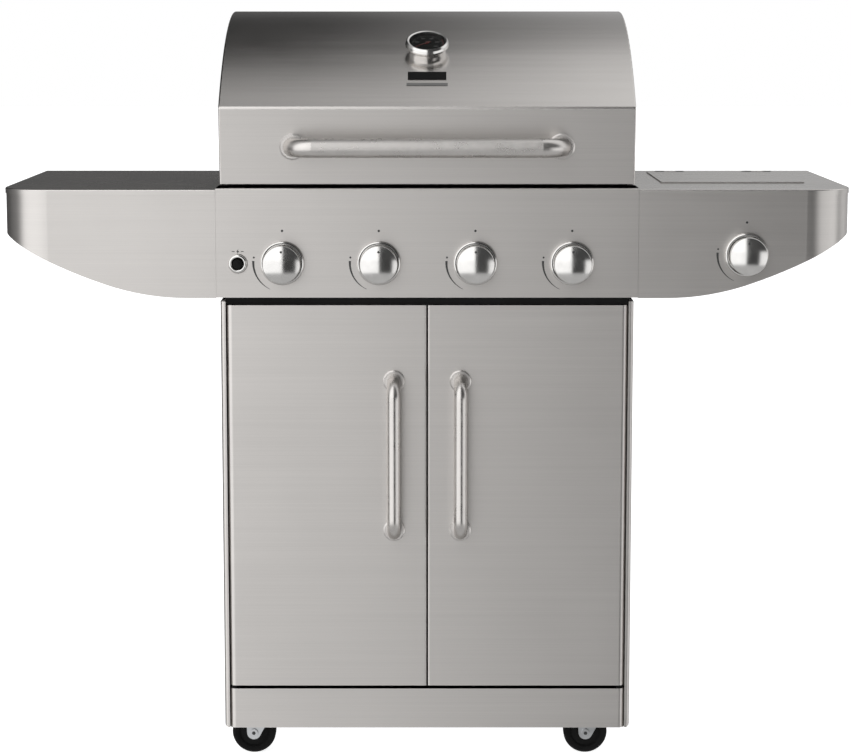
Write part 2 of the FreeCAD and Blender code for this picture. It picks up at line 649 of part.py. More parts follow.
def lid_hood():
    """Whole hood before it is divided into shell and end caps."""
    hood = lid_block(0.0).cut(lid_block(SHEET))
    hinge_y, hinge_z = LID_AXIS
    below = polygon([vec(-400, hinge_y, LID_BASE - 9), vec(-400, hinge_y, LID_BASE),
                     vec(-400, hinge_y + 26, hinge_z - 12), vec(-400, hinge_y + 31, hinge_z + 6),
                     vec(-400, LID_REAR_Y - 3, LID_REAR_BASE), vec(-400, LID_REAR_Y + 9, LID_REAR_BASE),
                     vec(-400, LID_REAR_Y + 9, LID_BASE - 9)]).extrude(vec(800, 0, 0))
    probe = rod(gauge_point(-60), gauge_point(60), 4.2)
    bolts = rod(vec(-LID_X - 5, hinge_y, hinge_z), vec(LID_X + 5, hinge_y, hinge_z),
                LID_BOLT_R + RUNNING)
    return cut(hood, [below, probe, bolts])


def gauge_axis():
    dy = GAUGE_Y - LID_ARC_CENTRE[0]
    dz = lid_arc_z(GAUGE_Y, LID_ARC_R) - LID_ARC_CENTRE[1]
    return vec(0, dy / LID_ARC_R, dz / LID_ARC_R)


def gauge_point(height):
    """Point on the gauge's axis, at a height above the lid's surface."""
    base = vec(0, GAUGE_Y, lid_arc_z(GAUGE_Y, LID_ARC_R))
    return base.add(gauge_axis().multiply(height))


def gauge_housing(lid_solid):
    """Bezel cup on the lid, with the probe that reaches inside and its nut."""
    neck = GAUGE_R - 5.5
    cup = [(0, -3), (neck, -3), (neck, 4), (neck + 1.5, 8), (GAUGE_R - 0.5, 12.5), (GAUGE_R, 15),
           (GAUGE_R - 1.2, 18.5), (GAUGE_R - 3.6, 21.2), (28.4, 20.6), (28.4, 14), (0, 14)]
    body = turned(cup, gauge_point(0), gauge_axis()).cut(lid_solid)
    probe = rod(gauge_point(1), gauge_point(-58), 4.0)
    nut = rod(gauge_point(-SHEET - 6), gauge_point(-SHEET - 0.3), 8.0)
    return fuse([body, probe, nut])


def gauge_dial():
    return rod(gauge_point(14), gauge_point(15), 28.3)


def gauge_glass():
    return rod(gauge_point(18.4), gauge_point(20.2), 28.35)


def gauge_needle():
    """Pointer on a short hub, resting towards the lower left of the dial."""
    hub = Part.makeCylinder(2.6, 1.9, vec(0, 0, 15.4))
    blade = polygon([vec(-6, -1.3, 16), vec(22, -0.5, 16), vec(22, 0.5, 16), vec(-6, 1.3, 16)])
    needle = hub.fuse(blade.extrude(vec(0, 0, 0.8)))
    needle.rotate(vec(0, 0, 0), vec(0, 0, 1), 215)
    needle.Placement = FreeCAD.Placement(gauge_point(0), FreeCAD.Rotation(vec(0, 0, 1), gauge_axis())) \
        .multiply(needle.Placement)
    return needle


def name_plate():
    """Blank badge and a thin bar under it, both following the curved lid."""
    y, z = LID_ARC_CENTRE
    def ring(thickness):
        outer = rod(vec(-40, y, z), vec(40, y, z), LID_ARC_R + thickness)
        return outer.cut(rod(vec(-41, y, z), vec(41, y, z), LID_ARC_R))
    badge = ring(1.0).common(box(-30, 30, -30, 120, 1080.5, 1091.7))
    bar = ring(0.5).common(box(-32, 32, -30, 120, 1071, 1075))
    return [badge, bar]


def lid_handle(lid_solid):
    """Bent tube with a round foot plate at each end, standing on the leaning front face."""
    face_y = LID_FACE_Y
    out = face_y - LID_HANDLE_OUT
    x, z = LID_HANDLE_X, LID_HANDLE_Z
    tube = bent_tube([vec(-x, face_y + 6, z), vec(-x, out, z), vec(x, out, z), vec(x, face_y + 6, z)],
                     31.0, LID_HANDLE_R)
    tube = tube.cut(lid_solid)
    feet = []
    for side in (-1, 1):
        foot = turned([(0, -6), (20.5, -6), (20.5, 3), (18, 5), (0, 5)],
                      vec(side * x, face_y, z), vec(0, -1, 0))
        feet.append(foot.cut(lid_solid).cut(tube))
    return [tube] + feet


# ---- side shelves -------------------------------------------------------------------
def shelf_outline(inset, z):
    """Plan of the right shelf: square at the back, a large radius at the front outer corner."""
    x0, x1 = SHELF_X[0] + inset, SHELF_X[1] - inset
    y0, y1 = inset, SHELF_DEPTH - inset
    r = SHELF_CORNER - inset
    drop = r * (1 - math.sqrt(0.5))
    return Part.Face(Part.Wire([
        line(vec(x0, y0, z), vec(x1 - r, y0, z)),
        arc(vec(x1 - r, y0, z), vec(x1 - drop, y0 + drop, z), vec(x1, y0 + r, z)),
        line(vec(x1, y0 + r, z), vec(x1, y1, z)),
        line(vec(x1, y1, z), vec(x0, y1, z)),
        line(vec(x0, y1, z), vec(x0, y0, z)),
    ]))


def shelf_top():
    """Flat top with a folded edge all round."""
    base = SHELF_TOP - SHELF_SKIRT
    block = shelf_outline(0.0, base).extrude(vec(0, 0, SHELF_SKIRT))
    block = fillet_edges(block, 2.0, lambda e: e.BoundBox.ZMin > SHELF_TOP - 0.01
                         and e.BoundBox.XMax > SHELF_X[0] + 1)
    return block.cut(shelf_outline(SHEET, base - 1).extrude(vec(0, 0, SHELF_SKIRT + 1 - SHEET)))


def shelf_fascia():
    """Sheet apron under the top; its lower edge sweeps up from the panel to the outer side."""
    top = SHELF_TOP - SHEET
    gap = SHEET + 0.1
    ring = shelf_outline(gap, PANEL_BASE - 1).extrude(vec(0, 0, top - PANEL_BASE + 1))
    ring = ring.cut(shelf_outline(gap + SHEET, PANEL_BASE - 2).extrude(vec(0, 0, top - PANEL_BASE + 9)))
    inner_x = SHELF_X[0] + gap + 0.1
    inner_top = SHELF_TOP - SHELF_SKIRT
    inner_front = box(SHELF_X[0], inner_x, gap, gap + SHEET, PANEL_BASE - 1, inner_top)
    ring = ring.fuse(inner_front)
    front = lambda x, z: vec(x, -9, z)
    lower = Part.Wire([
        line(front(300, PANEL_BASE - 1), front(370, PANEL_BASE - 1)),
        arc(front(370, PANEL_BASE - 1), front(441, 748.9), front(506, 766.0)),
        arc(front(506, 766.0), front(586, 798.8), front(661, SHELF_TIP)),
        line(front(661, SHELF_TIP), front(700, SHELF_TIP)),
        line(front(700, SHELF_TIP), front(700, 700)),
        line(front(700, 700), front(300, 700)),
        line(front(300, 700), front(300, PANEL_BASE - 1)),
    ])
    return ring.cut(Part.Face(lower).extrude(vec(0, SHELF_DEPTH + 20, 0)))


def pipe_hole():
    y, z = MANIFOLD
    return rod(vec(PANEL_X - 5, y, z), vec(PANEL_X + 9, y, z), 12.0)


def right_shelf_top():
    x0, x1, y0, y1 = SIDE_OPENING
    return shelf_top().cut(box(x0, x1, y0, y1, SHELF_TOP - 5, SHELF_TOP + 5))


def right_shelf_fascia():
    x, z = SIDE_KNOB
    return cut(shelf_fascia(), [pipe_hole(), rod(vec(x, -1, z), vec(x, 6, z), 11.0)])


def shelf_brackets():
    """Channels that hold each shelf off the firebox side."""
    blocks = []
    for side in (-1, 1):
        near, far = FIREBOX_X, SHELF_X[0] + SHEET + 0.1
        low, high = sorted((side * near, side * far))
        for y in (100.0, 350.0):
            outer = box(low, high, y, y + 40, 760, 840)
            blocks.append(outer.cut(box(low - 1, high + 1, y + 4, y + 36, 773, 827)))
    return blocks


def side_burner_bowl():
    """Drip bowl hung under the opening by its rim."""
    x0, x1, y0, y1 = SIDE_OPENING
    rim = box(x0 - 6, x1 + 6, y0 - 6, y1 + 6, SHELF_TOP - SHEET - 1.0, SHELF_TOP - SHEET)
    outer = box(x0 + 3, x1 - 3, y0 + 3, y1 - 3, 866, SHELF_TOP - SHEET)
    outer = fillet_edges(outer, 12.0, lambda e: e.BoundBox.ZLength > 9)
    inner = box(x0 + 4, x1 - 4, y0 + 4, y1 - 4, 867, SHELF_TOP + 5)
    inner = fillet_edges(inner, 11.0, lambda e: e.BoundBox.ZLength > 9)
    x = SIDE_KNOB[0]
    throat = rod(vec(x, burner_y(), 860), vec(x, burner_y(), 870), 13.0)
    return cut(rim.fuse(outer), [inner, throat])


def burner_y():
    return (SIDE_OPENING[2] + SIDE_OPENING[3]) / 2.0


def side_burner_head():
    """Round burner with its feed tube: down through the bowl, then forward to the jet."""
    x, z = SIDE_KNOB
    y = burner_y()
    cap = turned([(0, 868), (30, 868), (40, 876), (42, 884), (38, 891), (0, 891)],
                 vec(x, y, 0), vec(0, 0, 1))
    feed = bent_tube([vec(x, y, 870), vec(x, y, z), vec(x, 62, z)], 24.0, 12.5)
    bore = rod(vec(x, 61, z), vec(x, 120, z), 11.0)
    slots = []
    for i in range(24):
        turn = math.radians(15 * i)
        tip = vec(x + 50 * math.cos(turn), y + 50 * math.sin(turn), 881)
        slots.append(rod(vec(x + 37 * math.cos(turn), y + 37 * math.sin(turn), 881), tip, 1.6))
    return cut(cap.fuse(feed), [bore] + slots)


def side_burner_grate():
    """Pan support: square frame with four fingers over the burner."""
    x, y = SIDE_KNOB[0], burner_y()
    half_x, half_y, bar = 94.0, 118.0, 3.5
    z = 902.0
    frame = box(x - half_x, x + half_x, y - half_y, y + half_y, z - bar, z + bar)
    frame = frame.cut(box(x - half_x + 7, x + half_x - 7, y - half_y + 7, y + half_y - 7, z - 9, z + 9))
    pieces = [frame]
    for side in (-1, 1):
        x0, x1 = sorted((x + side * 18, x + side * (half_x - 1)))
        pieces.append(box(x0, x1, y - bar, y + bar, z - bar, z + bar))
        y0, y1 = sorted((y + side * 18, y + side * (half_y - 1)))
        pieces.append(box(x - bar, x + bar, y0, y1, z - bar, z + bar))
        for end in (-1, 1):
            foot_x, foot_y = x + side * (half_x - 5), y + end * (half_y - 5)
            pieces.append(rod(vec(foot_x, foot_y, 867), vec(foot_x, foot_y, z), bar))
    return fuse(pieces)


def side_burner_lid():
    """Flap over the side burner, with a turned-down edge inside the opening and two knuckles."""
    x0, x1, y0, y1 = SIDE_FLAP
    plate = box(x0, x1, y0, y1, SHELF_TOP + 0.4, SHELF_TOP + 2.0)
    a0, a1, b0, b1 = SIDE_OPENING
    skirt = box(a0 + 8, a1 - 8, b0 + 8, b1 - 8, SHELF_TOP - 4, SHELF_TOP + 1)
    skirt = skirt.cut(box(a0 + 9, a1 - 9, b0 + 9, b1 - 9, SHELF_TOP - 5, SHELF_TOP + 0.4))
    pieces = [plate, skirt]
    hinge_y, hinge_z = FLAP_AXIS
    for x in (x0 + 40, x1 - 40):
        barrel = rod(vec(x - 10, hinge_y, hinge_z), vec(x + 10, hinge_y, hinge_z), FLAP_BARREL_R)
        tab = box(x - 10, x + 10, hinge_y - 14, hinge_y - 1, SHELF_TOP + 0.6, SHELF_TOP + 2.6)
        pieces.append(barrel.fuse(tab))
    pins = rod(vec(x0, hinge_y, hinge_z), vec(x1, hinge_y, hinge_z), FLAP_PIN_R + RUNNING)
    return fuse(pieces).cut(pins)


def flap_hinges():
    """Fixed halves of the flap's hinges: a leaf on the shelf with two outer knuckles and a pin."""
    hinge_y, hinge_z = FLAP_AXIS
    solids = []
    for x in (SIDE_FLAP[0] + 40, SIDE_FLAP[1] - 40):
        leaf = box(x - 24, x + 24, hinge_y + 5, hinge_y + 20, SHELF_TOP, SHELF_TOP + 1.5)
        pieces = [leaf]
        for side in (-1, 1):
            near, far = sorted((x + side * 10.6, x + side * 24))
            pieces.append(rod(vec(near, hinge_y, hinge_z), vec(far, hinge_y, hinge_z), FLAP_BARREL_R))
            pieces.append(box(near, far, hinge_y + 1, hinge_y + 8, SHELF_TOP, SHELF_TOP + 2.5))
        pieces.append(rod(vec(x - 24, hinge_y, hinge_z), vec(x + 24, hinge_y, hinge_z), FLAP_PIN_R))
        solids.append(fuse(pieces))
    return solids


# ---- pins and bolts -----------------------------------------------------------------
def door_pins():
    """Hinge pins of both doors: standing in the plinth and hanging from the crossbar."""
    solids = []
    for side in (-1, 1):
        x = side * (CABINET_X - POST - DOOR_SIDE_GAP - DOOR_PIN_INSET)
        lower = rod(vec(x, DOOR_PIN_Y, FASCIA_TOP), vec(x, DOOR_PIN_Y, DOOR_BASE + 8), DOOR_PIN_R)
        washer = rod(vec(x, DOOR_PIN_Y, FASCIA_TOP), vec(x, DOOR_PIN_Y, DOOR_BASE - 0.4), 4.6)
        solids.append(lower.fuse(washer))
        solids.append(rod(vec(x, DOOR_PIN_Y, DOOR_TOP - 8), vec(x, DOOR_PIN_Y, CABINET_TOP - 4.5),
                          DOOR_PIN_R))
    return solids


def lid_bolts():
    """Hinge bolts of the lid, each with its head outside, a spacer, and a nut inside."""
    y, z = LID_AXIS
    solids = []
    for side in (-1, 1):
        def piece(near, far, radius):
            return rod(vec(side * near, y, z), vec(side * far, y, z), radius)
        inside = FIREBOX_X - FIREBOX_SHEET
        solids.append(fuse([
            piece(inside - 7, LID_X + 0.5, LID_BOLT_R),
            piece(LID_X + 0.4, LID_X + 4.0, 8.0),
            piece(FIREBOX_X, LID_X - SHEET - 0.4, 8.0),
            piece(inside - 6, inside, 7.0),
        ]))
    return solids


def bolt_places():
    """Every visible bolt as (where the head stands, outward axis, shank radius, shank length)."""
    places = []
    for side in (-1, 1):
        wall = side * (SHELF_X[0] + 2 * SHEET + 0.1)
        for y in (120.0, 370.0):
            for z in (766.0, 834.0):
                places.append((vec(wall, y, z), vec(side, 0, 0), 3.0, 8.0))
    for x in (-CASTER_X, CASTER_X):
        for y in CASTER_YS:
            for dx in (-24, 24):
                for dy in (-24, 24):
                    places.append((vec(x + dx, y + dy, FLOOR_Z + SHEET), vec(0, 0, 1), 3.0, 6.0))
    for x in (-290.0, 290.0):
        for z in (110.0, 400.0, 690.0):
            places.append((vec(x, CABINET_DEPTH, z), vec(0, 1, 0), 2.5, 5.0))
    return places


def fasteners():
    return [bolt(*place) for place in bolt_places()]


def drilled(shape):
    """The shape with the holes of all bolts that pass through it."""
    for head_at, axis, radius, length in bolt_places():
        shank = rod(head_at.sub(vec(axis.x, axis.y, axis.z).multiply(length + 1)), head_at.add(axis), radius)
        if shank.BoundBox.intersect(shape.BoundBox):
            shape = shape.cut(shank)
    return shape


# ---- build --------------------------------------------------------------------------
def main():
    os.makedirs("parts", exist_ok=True)

    side = drilled(left_side_panel())
    export("left_side_panel", side)
    export("right_side_panel", mirror_x(side))
    export("rear_panel", drilled(rear_panel()))
    export("cabinet_floor", drilled(cabinet_floor()))
    export("front_fascia", *front_fascia())
    export("front_crossbar", *front_crossbar())

    door = left_door()
    export("left_door", door)
    export("right_door", mirror_x(door))
    export("left_door_handle", *door_handle(-1))
    export("right_door_handle", *door_handle(1))

    export("firebox", firebox())
    export("grease_tray", grease_tray())
    export("control_panel", control_panel())
    export("gas_manifold", gas_manifold())
    export("valve_bodies", *[valve_body(x, z) for x, z in knob_positions()])
    export("main_burners", *[main_burner(x) for x in KNOB_XS])
    export("heat_tents", *[heat_tent(x) for x in KNOB_XS])
    export("cooking_grates", cooking_grate(-309.0, -1.5), cooking_grate(1.5, 309.0))
    export("warming_rack", warming_rack())
    export("knob_bezels", *[knob_bezel(x, z) for x, z in knob_positions()], igniter_ring())
    export("igniter_housing", igniter_housing())
    export("igniter_button", igniter_button())
    for number, (x, z) in enumerate(knob_positions(), 1):
        export("valve_stem_%d" % number, valve_stem(x, z))
        export("knob_%d" % number, knob(x, z))

    hood = lid_hood()
    lid_solid = lid_block(0.0)
    middle = box(-LID_X + LID_CAP_WIDTH, LID_X - LID_CAP_WIDTH, -50, 600, 800, 1300)
    export("lid_shell", hood.common(middle))
    export("lid_end_caps", *hood.cut(middle).Solids)
    export("lid_handle", *lid_handle(lid_solid))
    export("gauge_housing", gauge_housing(lid_solid))
    export("gauge_dial", gauge_dial())
    export("gauge_needle", gauge_needle())
    export("gauge_glass", gauge_glass())
    export("name_plate", *name_plate())

    export("left_shelf_top", mirror_x(shelf_top()))
    export("left_shelf_fascia", drilled(mirror_x(shelf_fascia())))
    export("right_shelf_top", right_shelf_top())
    export("right_shelf_fascia", drilled(right_shelf_fascia()))
    export("shelf_brackets", *[drilled(block) for block in shelf_brackets()])
    export("side_burner_bowl", side_burner_bowl())
    export("side_burner_head", side_burner_head())
    export("side_burner_grate", side_burner_grate())
    export("side_burner_lid", side_burner_lid())

    places = [("front_left", -CASTER_X, CASTER_YS[0]), ("front_right", CASTER_X, CASTER_YS[0]),
              ("rear_left", -CASTER_X, CASTER_YS[1]), ("rear_right", CASTER_X, CASTER_YS[1])]
    export("caster_plates", *[drilled(caster_mount(x, y)) for _, x, y in places])
    for name, x, y in places:
        export("caster_fork_" + name, caster_fork(x, y))
        export("caster_wheel_" + name, caster_wheel(x, y))

    export("hinge_pins", *(door_pins() + lid_bolts() + flap_hinges()))
    export("fasteners", *fasteners())


main()
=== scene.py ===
import math

import bmesh
import bpy
from mathutils import Matrix, Vector


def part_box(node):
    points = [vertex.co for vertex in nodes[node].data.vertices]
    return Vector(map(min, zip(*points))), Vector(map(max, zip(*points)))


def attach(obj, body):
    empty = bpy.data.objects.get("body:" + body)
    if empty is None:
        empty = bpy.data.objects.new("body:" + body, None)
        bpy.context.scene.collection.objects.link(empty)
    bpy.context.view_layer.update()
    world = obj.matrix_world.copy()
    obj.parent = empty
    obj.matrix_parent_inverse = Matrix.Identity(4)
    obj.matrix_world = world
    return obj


# Looks of the gas barbecue grill: materials for the CAD nodes, finer pieces where the CAD
# meshes are too plain, a studio of soft panels and the camera. Metres, +Z up, front at -Y.

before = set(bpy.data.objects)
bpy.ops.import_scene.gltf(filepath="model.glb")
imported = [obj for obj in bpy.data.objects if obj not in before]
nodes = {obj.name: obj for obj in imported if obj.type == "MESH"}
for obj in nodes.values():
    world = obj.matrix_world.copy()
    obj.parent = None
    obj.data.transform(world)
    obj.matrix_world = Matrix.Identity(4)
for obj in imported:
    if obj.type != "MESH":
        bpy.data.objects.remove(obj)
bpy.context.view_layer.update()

FRONT_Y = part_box("left_door")[0][1]      # plane of the doors' faces
KNOBS = [f"knob_{i}" for i in range(1, 6)]
MM = 0.001

# ---- camera -------------------------------------------------------------------------
CAMERA_DISTANCE = 3.888     # from the doors' plane
CAMERA_HEIGHT = 1.1717
CAMERA_PITCH = 8.11         # degrees below level
CAMERA_LENS = 106.27
CAMERA_SHIFT_X = -0.0019

# ---- studio: brightness of the soft panels around the grill --------------------------
# (degrees to the right of the camera, brightness) around the horizon
AROUND = [
    (-180, 0.10), (-150, 0.15), (-130, 0.80), (-118, 0.12), (-82, 0.12), (-72, 1.45),
    (-1.5, 1.36), (1.5, 0.06), (31, 0.06), (36, 1.14), (88, 1.14), (97, 0.05), (120, 0.05),
    (128, 0.85), (180, 0.85),
]
# (how far a direction leans to the back, brightness) overhead, on the left and on the right
OVERHEAD_LEFT = [
    (0.087, 0.42), (0.17, 0.35), (0.31, 0.22), (0.454, 0.08), (0.60, 0.03), (0.766, 0.03),
    (0.89, 0.05), (0.97, 0.10),
]
OVERHEAD_RIGHT = [
    (0.087, 1.0), (0.17, 1.0), (0.31, 1.0), (0.454, 0.92), (0.60, 0.66), (0.766, 0.46),
    (0.89, 0.42), (0.98, 0.50),
]
OVERHEAD_BLEND = (-0.055, 0.115)
FRONT_LEFT = 1.6            # high panels beside the camera, seen in the knobs
FRONT_RIGHT = 0.07
FRONT_BLEND = (-0.03, 0.03)
FRONT_TO_OVERHEAD = (-0.35, -0.15)
HORIZON_BLEND = (0.03, 0.17)    # from the panels around the grill to the ones overhead
BACK_LIFT = 0.3                 # the ones overhead come lower at the back
BELOW = 0.55                # the studio floor, seen in everything that looks down
BELOW_BLEND = (-0.46, -0.37)
RAMP_SCALE = 2.0            # a colour ramp holds values up to 1
FLOOR_HALF = 30.0
FLOOR_GLOW = 0.85

STEEL = (0.625, 0.603, 0.583)


# ---- node graphs --------------------------------------------------------------------
class Graph:
    """Adds nodes to one node tree. A value is a number, a vector or another node's output."""

    def __init__(self, tree):
        self.tree = tree
        tree.nodes.clear()

    def node(self, kind, inputs=None, **settings):
        made = self.tree.nodes.new(kind)
        for name, value in settings.items():
            setattr(made, name, value)
        for socket, value in (inputs or {}).items():
            if isinstance(value, bpy.types.NodeSocket):
                self.tree.links.new(value, made.inputs[socket])
            else:
                made.inputs[socket].default_value = value
        return made

    def math(self, operation, *values):
        return self.node("ShaderNodeMath", dict(enumerate(values)), operation=operation).outputs[0]

    def vector(self, operation, *values):
        made = self.node("ShaderNodeVectorMath", dict(enumerate(values)), operation=operation)
        return made.outputs["Vector"]

    def ease(self, value, low, high, out_low=0.0, out_high=1.0):
        """out_low below low, out_high above high, and a smooth step in between."""
        inputs = {"Value": value, "From Min": low, "From Max": high, "To Min": out_low, "To Max": out_high}
        return self.node("ShaderNodeMapRange", inputs, interpolation_type="SMOOTHSTEP").outputs[0]

    def spread(self, value, low, high, out_low, out_high):
        inputs = {"Value": value, "From Min": low, "From Max": high, "To Min": out_low, "To Max": out_high}
        return self.node("ShaderNodeMapRange", inputs).outputs[0]

    def blend(self, factor, first, second):
        """Mixes two numbers: first at factor 0, second at factor 1."""
        inputs = {"Factor": factor, "A": first, "B": second}
        return self.node("ShaderNodeMix", inputs, data_type="FLOAT").outputs[0]

    def ramp(self, factor, stops):
        """stops are (place from 0 to 1, brightness or colour)."""
        made = self.node("ShaderNodeValToRGB", {"Fac": factor})
        elements = made.color_ramp.elements
        while len(elements) < len(stops):
            elements.new(1.0)
        for element, (place, _) in zip(elements, stops):
            element.position = place
        for element, (_, value) in zip(elements, stops):
            element.color = value if isinstance(value, tuple) else (value, value, value, 1.0)
        return made.outputs["Color"]

    def noise(self, place, scale, detail=2.0, roughness=0.5):
        inputs = {"Vector": place, "Scale": scale, "Detail": detail, "Roughness": roughness}
        return self.node("ShaderNodeTexNoise", inputs).outputs["Fac"]


def colour(rgb, factor=1.0):
    return (rgb[0] * factor, rgb[1] * factor, rgb[2] * factor, 1.0)


def new_material(name):
    material = bpy.data.materials.new(name)
    material.use_nodes = True
    return material, Graph(material.node_tree)


def finish_material(graph, inputs):
    """Joins a Principled shader with these inputs to the output."""
    shader = graph.node("ShaderNodeBsdfPrincipled", inputs)
    graph.node("ShaderNodeOutputMaterial", {"Surface": shader.outputs[0]})


def object_place(graph, stretch=(1.0, 1.0, 1.0)):
    place = graph.node("ShaderNodeTexCoord").outputs["Object"]
    return graph.vector("MULTIPLY", place, stretch)


def bump(graph, height, strength, depth):
    made = graph.node("ShaderNodeBump", {"Height": height, "Strength": strength, "Distance": depth})
    return made.outputs["Normal"]


# ---- materials ----------------------------------------------------------------------
def grain_direction(graph, wrapped):
    """Tangent along the brushing: level all round the object, or straight along x."""
    if not wrapped:
        along = (1.0, 0.0, 0.0)
    else:
        normal = graph.node("ShaderNodeNewGeometry").outputs["Normal"]
        own = graph.node("ShaderNodeVectorTransform", {"Vector": normal},
                         vector_type="VECTOR", convert_from="WORLD", convert_to="OBJECT")
        along = graph.vector("CROSS_PRODUCT", own.outputs[0], (0.0, 0.0, 1.0))
    made = graph.node("ShaderNodeVectorTransform", {"Vector": along},
                      vector_type="VECTOR", convert_from="OBJECT", convert_to="WORLD")
    return made.outputs[0]


def brushed_steel(name, stretch, wrapped, roughness=0.37, anisotropy=0.4, base=STEEL):
    """Brushed stainless sheet. stretch is how fast the brush lines change along x, y and z."""
    material, graph = new_material(name)
    lines = graph.noise(object_place(graph, stretch), 1.0, 4.0, 0.6)
    coarse = graph.vector("MULTIPLY", object_place(graph, stretch), (0.4, 0.12, 0.12))
    bands = graph.noise(coarse, 1.0, 2.0)
    smudges = graph.noise(object_place(graph), 7.0, 3.0)
    grain = graph.math("ADD", graph.math("MULTIPLY", lines, 0.7), graph.math("MULTIPLY", bands, 0.3))
    shade = graph.ramp(grain, [(0.3, colour(base, 0.955)), (0.7, colour(base, 1.045))])
    worn = graph.spread(smudges, 0.3, 0.7, roughness - 0.015, roughness + 0.02)
    finish_material(graph, {
        "Base Color": shade,
        "Metallic": 1.0,
        "Roughness": graph.math("ADD", worn, graph.spread(lines, 0.3, 0.7, -0.02, 0.02)),
        "Anisotropic": anisotropy,
        "Anisotropic Rotation": 0.25,
        "Tangent": grain_direction(graph, wrapped),
        "Normal": bump(graph, lines, 0.02, 0.0002),
    })
    return material


def polished(name, base, roughness, waviness=0.02):
    """Chrome, zinc and other metals without a grain."""
    material, graph = new_material(name)
    clouds = graph.noise(object_place(graph), 60.0, 3.0)
    inputs = {
        "Base Color": graph.ramp(clouds, [(0.3, colour(base, 0.94)), (0.7, colour(base, 1.04))]),
        "Metallic": 1.0,
        "Roughness": graph.spread(clouds, 0.3, 0.7, roughness * 0.85, roughness * 1.15),
    }
    if waviness:
        fine = graph.noise(object_place(graph), 900.0, 2.0)
        inputs["Normal"] = bump(graph, fine, waviness, 0.0002)
    finish_material(graph, inputs)
    return material


def galvanised(name):
    """Zinc-coated sheet with its crystal pattern."""
    material, graph = new_material(name)
    place = object_place(graph)
    crystals = graph.node("ShaderNodeTexVoronoi", {"Vector": place, "Scale": 90.0}).outputs["Color"]
    tone = graph.node("ShaderNodeRGBToBW", {"Color": crystals}).outputs[0]
    finish_material(graph, {
        "Base Color": graph.ramp(tone, [(0.2, (0.42, 0.43, 0.44, 1)), (0.8, (0.60, 0.61, 0.62, 1))]),
        "Metallic": 0.9,
        "Roughness": graph.spread(tone, 0.2, 0.8, 0.36, 0.5),
        "Normal": bump(graph, graph.noise(place, 400.0), 0.05, 0.0003),
    })
    return material


def cast_iron(name):
    material, graph = new_material(name)
    place = object_place(graph)
    grit = graph.noise(place, 700.0, 4.0, 0.7)
    clouds = graph.noise(place, 30.0, 3.0)
    finish_material(graph, {
        "Base Color": graph.ramp(clouds, [(0.3, (0.022, 0.021, 0.020, 1)), (0.7, (0.045, 0.042, 0.040, 1))]),
        "Metallic": 0.3,
        "Roughness": graph.spread(clouds, 0.3, 0.7, 0.5, 0.68),
        "Normal": bump(graph, grit, 0.5, 0.0006),
    })
    return material


def enamel(name, base, roughness, coat, specular=0.5):
    """Baked enamel or paint: a smooth black coat with a faint orange peel."""
    material, graph = new_material(name)
    place = object_place(graph)
    peel = graph.noise(place, 260.0, 2.0)
    dust = graph.noise(place, 12.0, 4.0)
    finish_material(graph, {
        "Base Color": graph.ramp(dust, [(0.35, colour(base)), (0.75, colour(base, 1.8))]),
        "Roughness": graph.spread(dust, 0.3, 0.7, roughness, roughness + 0.12),
        "Specular IOR Level": specular,
        "Coat Weight": coat,
        "Coat Roughness": 0.12,
        "Normal": bump(graph, peel, 0.12, 0.0004),
    })
    return material


def burner_steel(name):
    """Stainless steel with the straw and blue tints of heat."""
    material, graph = new_material(name)
    place = object_place(graph)
    heat = graph.noise(place, 9.0, 3.0, 0.6)
    lines = graph.noise(object_place(graph, (400.0, 12.0, 400.0)), 1.0, 2.0)
    stops = [(0.30, (0.50, 0.49, 0.47, 1)), (0.50, (0.52, 0.44, 0.33, 1)), (0.70, (0.36, 0.36, 0.42, 1))]
    finish_material(graph, {
        "Base Color": graph.ramp(heat, stops),
        "Metallic": 1.0,
        "Roughness": graph.spread(lines, 0.3, 0.7, 0.28, 0.42),
        "Normal": bump(graph, lines, 0.08, 0.0003),
    })
    return material


def moulded(name, base, roughness, specular=0.2):
    """Black plastic or tyre rubber with a fine moulded texture."""
    material, graph = new_material(name)
    place = object_place(graph)
    pores = graph.noise(place, 1200.0, 3.0, 0.6)
    scuffs = graph.noise(place, 45.0, 4.0, 0.7)
    finish_material(graph, {
        "Base Color": graph.ramp(scuffs, [(0.35, colour(base)), (0.8, colour(base, 2.2))]),
        "Roughness": graph.spread(scuffs, 0.3, 0.7, roughness, roughness + 0.15),
        "Specular IOR Level": specular,
        "Normal": bump(graph, pores, 0.15, 0.0003),
    })
    return material


def printed(name, base):
    """Screen-printed ink with its faint speckle."""
    material, graph = new_material(name)
    speckle = graph.noise(object_place(graph), 2500.0, 2.0)
    finish_material(graph, {
        "Base Color": graph.ramp(speckle, [(0.3, colour(base, 0.85)), (0.7, colour(base, 1.15))]),
        "Roughness": graph.spread(speckle, 0.3, 0.7, 0.45, 0.6),
    })
    return material


def clear_glass(name):
    material, graph = new_material(name)
    smears = graph.noise(object_place(graph), 90.0, 3.0)
    finish_material(graph, {
        "Base Color": (0.98, 0.99, 0.99, 1.0),
        "Roughness": graph.spread(smears, 0.3, 0.7, 0.0, 0.03),
        "Transmission Weight": 1.0,
        "IOR": 1.12,
    })
    return material


LEVEL_GRAIN = (3.0, 3.0, 900.0)
ROLLED_GRAIN = (3.0, 900.0, 900.0)
FLAT_GRAIN = (3.0, 900.0, 3.0)

